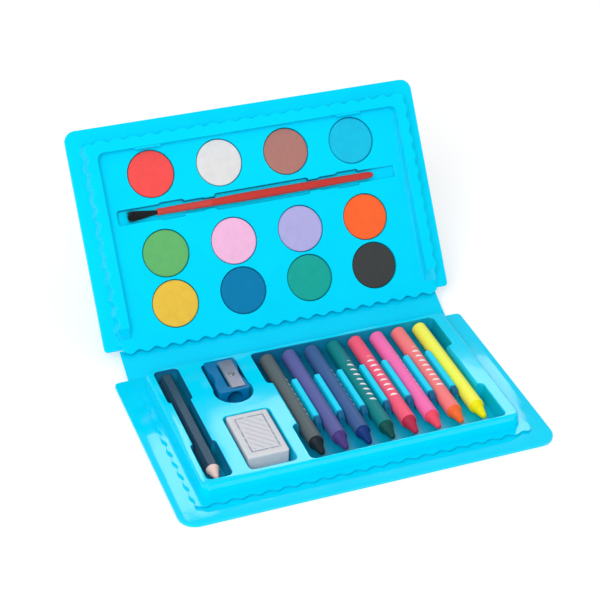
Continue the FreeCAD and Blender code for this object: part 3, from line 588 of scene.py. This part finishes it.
def base_painted_shade(point):
    """How much painted shade a point of the base takes: most in the narrow slots and at the back of the
    crayons' pocket, less round the eraser, at the pocket's front right and on the small wavy step along the
    front and right."""
    step_low, step_high, step_front, step_right = 2.05, 3.3, -47, 88
    pockets_side, pockets_front, pockets_back, pockets_top = 83, -42, 51.6, 10.8
    crayons_left, eraser_left, eraser_back, floor_level = -30, -62, 6, 4
    spot = point / MM
    # Painted shade on the small wavy step along the front and right
    if step_low < spot.z < step_high and (spot.y < step_front or spot.x > step_right):
        return 0.35
    inside = abs(spot.x) <= pockets_side and pockets_front < spot.y < pockets_back and spot.z <= pockets_top
    if not inside or on_divider(point):
        return 0.0
    # Painted shadow on the rounded front ends of the bars between two crayons
    if BARS_LEFT < spot.x < BARS_RIGHT and -15 < spot.y < -9 and spot.z > floor_level:
        return 1.0
    # Painted shade that lightens towards the right and the front of the crayons' pocket
    if spot.x > crayons_left:
        return min(1.0, 0.65 - 0.0044 * (spot.x + 20) + 0.0041 * (spot.y + 38))
    if spot.x > eraser_left and spot.y < eraser_back:
        return 0.35
    return 0.6 if spot.z < floor_level else 1.0


def lid_painted_shade(point):
    """How much painted shade a point of the lid takes: half in the paint wells, most as a shadow line on
    the brush slot's upper wall."""
    slot_left, slot_right, slot_reach, wall_low, wall_high = -81, 78.5, 6, 0.85, 3.36
    wells_side, wells_front, wells_back, wells_top, clear_of_brush = 84, 3, 104, 1.6, 9
    spot = LID.inverted() @ point / MM
    from_brush = spot.y - BRUSH_ROW
    # Painted shadow along the brush slot's upper wall
    if slot_left < spot.x < slot_right and 0 < from_brush < slot_reach and wall_low < spot.z < wall_high:
        return 0.8
    # Painted shade in the paint wells, round the cakes
    well = abs(spot.x) < wells_side and wells_front < spot.y < wells_back and spot.z < wells_top
    return 0.5 if well and abs(from_brush) > clear_of_brush else 0.0


def on_rim_end(point):
    """Whether a point lies on the slope where the lid's rim ends near the fold."""
    spot = LID.inverted() @ point / MM
    slope_end, panel_top, rim_top = 11.5, 3.45, 8.3
    return spot.y < slope_end and panel_top < spot.z < rim_top


def lip_painted_shade(point):
    """Painted shade on the fold lip: most on its turned down edge."""
    spot = LID.inverted() @ point / MM
    turned_down = spot.y < 0 and spot.z < 2.8
    return 0.8 if turned_down else 0.0


# 02608F is the painted shade colour that pockets, slots and wells darken towards
case_sheet = formed_polystyrene("formed_cyan_polystyrene", "00D7F9", "02608F")
cover_sheet = formed_polystyrene("rolled_cyan_polystyrene", "00D4F7", "02608F")

base_tray = softened("base_tray", "base_tray_formed", case_sheet, 0.25, reshape=base_shape)
# Painted shade in the base's pockets and slots and on its wavy step
marked(base_tray, "painted_shade", base_painted_shade)
marked(base_tray, "matt", on_divider)
lid_tray = softened("lid_tray", "lid_tray_formed", case_sheet, 0.25, reshape=lid_shape)
# Painted shade in the lid's paint wells and along the brush slot's upper wall
marked(lid_tray, "painted_shade", lid_painted_shade)
marked(lid_tray, "matt", on_rim_end)
softened("base_panel", "base_cover", cover_sheet, 0.3)
softened("lid_panel", "lid_cover", cover_sheet, 0.3)
softened("spine_strip", "spine_cover", cover_sheet, 0.2)
fold_lip(case_sheet)


# Paints

CAKE_RADIUS, CAKE_DEPTH = 12.6, 2.3


def cake_pattern():
    """Pressed cake: a disc with a rounded rim and a face that dips a little to the middle."""
    bpy.ops.object.select_all(action="DESELECT")
    bpy.ops.mesh.primitive_cylinder_add(vertices=96, radius=CAKE_RADIUS * MM, depth=CAKE_DEPTH * MM)
    piece = bpy.context.object
    for face in piece.data.polygons:
        face.select = face.normal.z > 0.9
    bpy.ops.object.mode_set(mode="EDIT")
    bpy.ops.mesh.select_mode(type="FACE")
    bpy.ops.mesh.bevel(offset=0.45 * MM, segments=3, profile=0.6)
    bpy.ops.object.mode_set(mode="OBJECT")
    for face in piece.data.polygons:
        face.select = face.normal.z > 0.99
    bpy.ops.object.mode_set(mode="EDIT")
    for inward, down in ((0.8, 0.0), (3.0, -0.03), (4.5, -0.04)):
        bpy.ops.mesh.inset(thickness=inward * MM)
        bpy.ops.transform.translate(value=(0, 0, down * MM))
    bpy.ops.object.mode_set(mode="OBJECT")
    return piece


def pressed_cake(pattern, colour, seed):
    """One cake, its rim crumbled a little differently from the others."""
    node = "paint_" + colour
    piece = copied(pattern, node + "_cake", Matrix())
    bpy.ops.object.mode_set(mode="EDIT")
    bpy.ops.mesh.select_mode(type="VERT")
    bpy.ops.mesh.select_all(action="DESELECT")
    bpy.ops.object.mode_set(mode="OBJECT")
    for v in piece.data.vertices:
        v.select = v.co.z > 0.5 * MM and v.co.xy.length > (CAKE_RADIUS - 0.5) * MM
    # Marks the rim that the finish darkens with painted shade
    marked(piece, "rim", lambda spot: spot.xy.length > (CAKE_RADIUS - 0.1) * MM)
    bpy.ops.object.mode_set(mode="EDIT")
    bpy.ops.transform.vertex_random(offset=0.1 * MM, seed=seed)
    bpy.ops.mesh.vertices_smooth(factor=0.5, repeat=2)
    bpy.ops.object.mode_set(mode="OBJECT")
    bpy.ops.object.shade_smooth_by_angle(angle=math.radians(45))
    piece.matrix_world = Matrix.Translation(middle(node)) @ LID.to_3x3().to_4x4()
    bpy.ops.object.transform_apply()
    dressed(piece, node, pressed_paint("pressed_paint_" + colour, PAINT_COLOURS[colour]))


cake = cake_pattern()
for seed, colour in enumerate(PAINT_COLOURS):
    pressed_cake(cake, colour, seed)
bpy.data.objects.remove(cake)


# Brush

ALONG_BRUSH = (LID @ Matrix.Translation((0, BRUSH_ROW * MM, BRUSH_AXIS * MM))
               @ Matrix.Rotation(math.radians(-90), 4, "Z"))


def turned_brush_piece(node, name, finish, stations):
    """A round piece of the brush, turned to its radius at each station along the brush."""
    pattern = drawn_out(name, stations, 32)
    pattern.matrix_world = ALONG_BRUSH
    select_only(pattern)
    bpy.ops.object.transform_apply()
    dressed(pattern, node, finish)


def brush_tuft(finish):
    """Flat tuft of some hundred and fifty hairs that fan out of the ferrule."""
    count, length, root_at, tip_at = 150, 17.4, -57.9, -75.2
    dice = random.Random(11)
    hair = drawn_out("hair", ((0, 0.16), (9, 0.14), (15, 0.09), (length, 0.03)), 5)
    hairs = []
    for _ in range(count):
        angle, out = dice.uniform(0, 2 * math.pi), math.sqrt(dice.random())
        root = Vector((0.9 * out * math.cos(angle), root_at, 0.9 * out * math.sin(angle)))
        end = Vector((3.1 * out * math.cos(angle) + dice.gauss(0, 0.15), tip_at + abs(dice.gauss(0, 0.7)),
                      0.5 * out * math.sin(angle) + dice.gauss(0, 0.08)))
        run = end - root
        turn = Vector((0, 1, 0)).rotation_difference(run).to_matrix().to_4x4()
        stretch = Matrix.Diagonal((1, run.length / length, 1, 1))
        hairs.append(copied(hair, "hair", ALONG_BRUSH @ Matrix.Translation(root * MM) @ turn @ stretch))
    bpy.data.objects.remove(hair)
    for piece in hairs:
        piece.select_set(True)
    bpy.ops.object.join()
    tuft = bpy.context.object
    tuft.name = "brush_tuft"
    dressed(tuft, "brush_bristles", finish)


turned_brush_piece("brush_handle", "brush_red_handle",
                   moulded_polystyrene("moulded_red_polystyrene", "C63A34", 0.18),
                   ((-28.2, 2.0), (-24, 2.06), (-18.7, 2.2), (-11, 2.34), (-4.5, 2.4), (6, 2.39),
                    (14.5, 2.33), (26, 2.24), (38.3, 2.15), (50, 2.02), (62, 1.9), (64, 1.82), (65.4, 1.52),
                    (66.3, 1.1), (66.8, 0.5)))
turned_brush_piece("brush_ferrule", "brush_red_ferrule",
                   moulded_polystyrene("moulded_red_ferrule_polystyrene", "CB463F", 0.22),
                   ((-58.5, 1.7), (-58.35, 1.86), (-58.1, 1.96), (-57.8, 2.0), (-57.5, 1.96), (-57.2, 1.84),
                    (-41.9, 1.99), (-41.5, 1.9), (-41.1, 1.8), (-39.9, 1.8),
                    (-39.4, 1.9), (-39.0, 2.0), (-36.4, 2.0), (-36.0, 1.86), (-35.2, 1.86), (-34.8, 2.0),
                    (-28.2, 2.0)))
brush_tuft(dyed_nylon("dyed_black_nylon_hair", "16161A"))


# Crayons

def wrapper_pattern():
    """Paper tube with the step of its overlap along one side."""
    front, length, radius, thick, lap = -25.0, 72.3, 3.98, 0.16, 0.08
    lap_from, lap_to = -2.5, -1.0
    bpy.ops.object.select_all(action="DESELECT")
    bpy.ops.mesh.primitive_circle_add(vertices=64, radius=radius * MM, location=(0, front * MM, 0),
                                      rotation=(math.pi / 2, 0, 0))
    piece = bpy.context.object
    bpy.ops.object.transform_apply()
    bpy.ops.object.mode_set(mode="EDIT")
    bpy.ops.mesh.select_all(action="SELECT")
    bpy.ops.mesh.extrude_region_move(TRANSFORM_OT_translate={"value": (0, length * MM, 0)})
    bpy.ops.mesh.select_all(action="SELECT")
    bpy.ops.mesh.normals_make_consistent(inside=False)
    bpy.ops.object.mode_set(mode="OBJECT")
    wall = piece.modifiers.new("wall", "SOLIDIFY")
    wall.thickness = thick * MM
    wall.offset = -1.0
    bpy.ops.object.modifier_apply(modifier="wall")
    for face in piece.data.polygons:
        spot, way = face.center, face.normal
        outer = way.x * spot.x + way.z * spot.z > 3 * MM
        face.select = outer and lap_from < math.atan2(spot.x, spot.z) < lap_to
    bpy.ops.object.mode_set(mode="EDIT")
    bpy.ops.mesh.select_mode(type="FACE")
    bpy.ops.mesh.extrude_region_shrink_fatten(TRANSFORM_OT_shrink_fatten={"value": lap * MM})
    bpy.ops.object.mode_set(mode="OBJECT")
    bpy.ops.object.shade_smooth_by_angle(angle=math.radians(30))
    return piece


stick = drawn_out("stick", ((-35, 0.7), (-34.8, 1.1), (-34.3, 1.48), (-27.25, 3.03), (-27.0, 3.3),
                            (-26.7, 3.65), (-26.5, 3.77), (47.3, 3.77), (47.7, 3.6), (48, 3.2)), 48)
tube = wrapper_pattern()
for colour, (paper, wax, roll) in CRAYONS.items():
    node = "crayon_" + colour
    axis = middle(node + "_wrapper")
    axis.y = 0
    place = Matrix.Translation(axis) @ Matrix.Rotation(math.radians(roll), 4, "Y")
    dressed(copied(stick, node + "_wax", place), node + "_stick",
            cast_wax("cast_wax_" + colour, wax))
    dressed(copied(tube, node + "_paper", place), node + "_wrapper",
            printed_wrapper("printed_paper_" + colour, paper, axis, roll))
bpy.data.objects.remove(stick)
bpy.data.objects.remove(tube)


# Pencil, sharpener and eraser

softened("pencil_barrel", "pencil_lacquered_barrel",
         dipped_lacquer("dipped_black_lacquer", "26485F"), 0.25)
limewood = shaved_limewood("shaved_limewood", "F0DAD2", "DDBDB4")
core = shaved_limewood("pale_pencil_core", "E8C9C4", "D4A9A4")
axis = middle("pencil_wood")
axis.y = 0
for node, name, slot, finish, stations in (
        ("pencil_wood", "pencil_cut_cone", "pencil_bare_wood", limewood,
         ((-34.48, 1.1), (-27.9, 3.49))),
        ("pencil_lead", "pencil_core_point", "pencil_core", core,
         ((-36.95, 0.2), (-36.8, 0.28), (-34.48, 1.1)))):
    cone = drawn_out(name, stations, 48)
    cone.matrix_world = Matrix.Translation(axis)
    bpy.ops.object.transform_apply()
    dressed(cone, node, finish)

blue_plastic = moulded_polystyrene("moulded_blue_polystyrene", "0272A8", 0.08)
softened("sharpener_body", "sharpener_blue_body", blue_plastic, 0.3)
softened("sharpener_blade", "sharpener_steel_blade",
         ground_steel("ground_carbon_steel", "A8A4AE", (1.0, 0.05, 1.0)), 0.06)
softened("sharpener_screw", "sharpener_steel_screw",
         ground_steel("turned_screw_steel", "B4B2B6", (1.0, 1.0, 1.0)), 0.08)
softened("eraser_block", "eraser_vinyl_block",
         printed_vinyl("cut_white_vinyl", "D4D5DA", middle("eraser_block"), 4.7), 0.5)


def grip_ridges(finish):
    """Upright ridges in the two finger hollows of the sharpener."""
    ridge_radius, hollow_radius, hollow_out, turn = 0.55, 15.1, 13.5, 0.105
    low, high = (Vector(corner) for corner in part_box("sharpener_body"))
    centre = (low + high) / 2
    bpy.ops.object.select_all(action="DESELECT")
    bpy.ops.mesh.primitive_cylinder_add(vertices=12, radius=ridge_radius * MM,
                                        depth=high.z - low.z - 0.8 * MM)
    ridge = bpy.context.object
    bpy.ops.object.mode_set(mode="EDIT")
    bpy.ops.mesh.select_all(action="SELECT")
    bpy.ops.mesh.bevel(offset=0.2 * MM, segments=2)
    bpy.ops.object.mode_set(mode="OBJECT")
    bpy.ops.object.shade_smooth_by_angle(angle=math.radians(50))
    ridges = []
    for side in (-1, 1):
        hollow = centre.x + side * (high.x - centre.x + hollow_out * MM)
        for i in range(-3, 4):
            angle = i * turn
            spot = (hollow - side * hollow_radius * MM * math.cos(angle),
                    centre.y + hollow_radius * MM * math.sin(angle), centre.z - 0.2 * MM)
            ridges.append(copied(ridge, "ridge", Matrix.Translation(spot)))
    bpy.data.objects.remove(ridge)
    for piece in ridges:
        piece.select_set(True)
    bpy.ops.object.join()
    grip = bpy.context.object
    grip.name = "sharpener_grip_ridges"
    grip.data.materials.append(finish)
    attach(grip, "sharpener")


grip_ridges(blue_plastic)


# Floor, light and camera

def white_floor():
    """Matt white paper sweep that shows white to the eye and keeps the object's shadow."""
    bpy.ops.object.select_all(action="DESELECT")
    bpy.ops.mesh.primitive_plane_add(size=8.0, location=(0, 0, -0.05 * MM))
    floor = bpy.context.object
    floor.name = "paper_floor"
    made, tree, shader, place = start("white_paper_floor", Roughness=0.9, Specular_IOR_Level=0.1)
    shader.inputs["Base Color"].default_value = linear("F4F4F4")
    path = add(tree, "ShaderNodeLightPath")
    direct = add(tree, "ShaderNodeMath",
                 {0: path.outputs["Is Camera Ray"], 1: path.outputs["Is Glossy Ray"]},
                 operation="MAXIMUM")
    seen = add(tree, "ShaderNodeMath", {0: direct.outputs[0], 1: path.outputs["Is Transmission Ray"]},
               operation="MAXIMUM")
    glow = add(tree, "ShaderNodeMath", {0: seen.outputs[0], 1: 0.2}, operation="MULTIPLY")
    shader.inputs["Emission Color"].default_value = (1, 1, 1, 1)
    tree.links.new(glow.outputs[0], shader.inputs["Emission Strength"])
    floor.data.materials.append(made)


def studio_world():
    """White to the eye, grey in reflections, dimmest on the side of the camera, and a softer even level
    that lights the object."""
    seen_level, lit_level, near_level, far_level = 1.0, 0.66, 0.06, 0.4
    world = bpy.data.worlds.new("studio")
    bpy.context.scene.world = world
    world.use_nodes = True
    tree = world.node_tree
    path = add(tree, "ShaderNodeLightPath")
    seen = add(tree, "ShaderNodeMath",
               {0: path.outputs["Is Camera Ray"], 1: path.outputs["Is Transmission Ray"]},
               operation="MAXIMUM")
    way = add(tree, "ShaderNodeTexCoord")
    spot = add(tree, "ShaderNodeSeparateXYZ", {"Vector": way.outputs["Generated"]})
    far = add(tree, "ShaderNodeMapRange", {"Value": spot.outputs["Y"], "From Min": -0.2, "From Max": 0.3,
                                           "To Min": near_level, "To Max": far_level})
    mirrored = add(tree, "ShaderNodeMix",
                   {0: path.outputs["Is Glossy Ray"], 2: lit_level, 3: far.outputs["Result"]})
    level = add(tree, "ShaderNodeMix", {0: seen.outputs[0], 2: mirrored.outputs[0], 3: seen_level})
    back = tree.nodes["Background"]
    back.inputs["Color"].default_value = (1, 1, 1, 1)
    tree.links.new(level.outputs[0], back.inputs["Strength"])


def softbox(name, place, aim, wide, high, power):
    """A rectangular area lamp aimed at a point; metres and watts."""
    lamp = bpy.data.lights.new(name, "AREA")
    lamp.shape = "RECTANGLE"
    lamp.size = wide
    lamp.size_y = high
    lamp.energy = power
    holder = bpy.data.objects.new(name, lamp)
    bpy.context.collection.objects.link(holder)
    holder.location = place
    holder.rotation_euler = (Vector(aim) - Vector(place)).to_track_quat("-Z", "Y").to_euler()


def photo_camera():
    """Camera where the photograph was taken from, fitted to the photograph."""
    turned, looks_down, roll = -21.647, 34.446, 1.515
    stands_at = Vector((-274.9, -642.5, 550.2))
    camera = bpy.data.cameras.new("photo_camera")
    camera.sensor_width = 36.0
    camera.lens = 102.98
    holder = bpy.data.objects.new("photo_camera", camera)
    bpy.context.collection.objects.link(holder)
    turn = (Matrix.Rotation(math.radians(turned), 4, "Z")
            @ Matrix.Rotation(math.radians(90 - looks_down), 4, "X")
            @ Matrix.Rotation(math.radians(roll), 4, "Z"))
    holder.matrix_world = Matrix.Translation(stands_at * MM) @ turn
    bpy.context.scene.camera = holder


white_floor()
studio_world()
softbox("front_softbox", (-0.6, -0.9, 0.95), (0, 0.03, 0.02), 0.8, 0.8, 11.3)
# Two narrow strips behind the case, mirrored as pale bands on its flanges
softbox("rear_strip_left", (0.1435, 0.8, 0.732), (0.1435, 0.0, 0.05), 0.057, 0.1, 0.1)
softbox("rear_strip", (0.4025, 0.8, 0.732), (0.4025, 0.0, 0.05), 0.395, 0.1, 0.67)
photo_camera()
bpy.context.scene.view_settings.view_transform = "Standard"
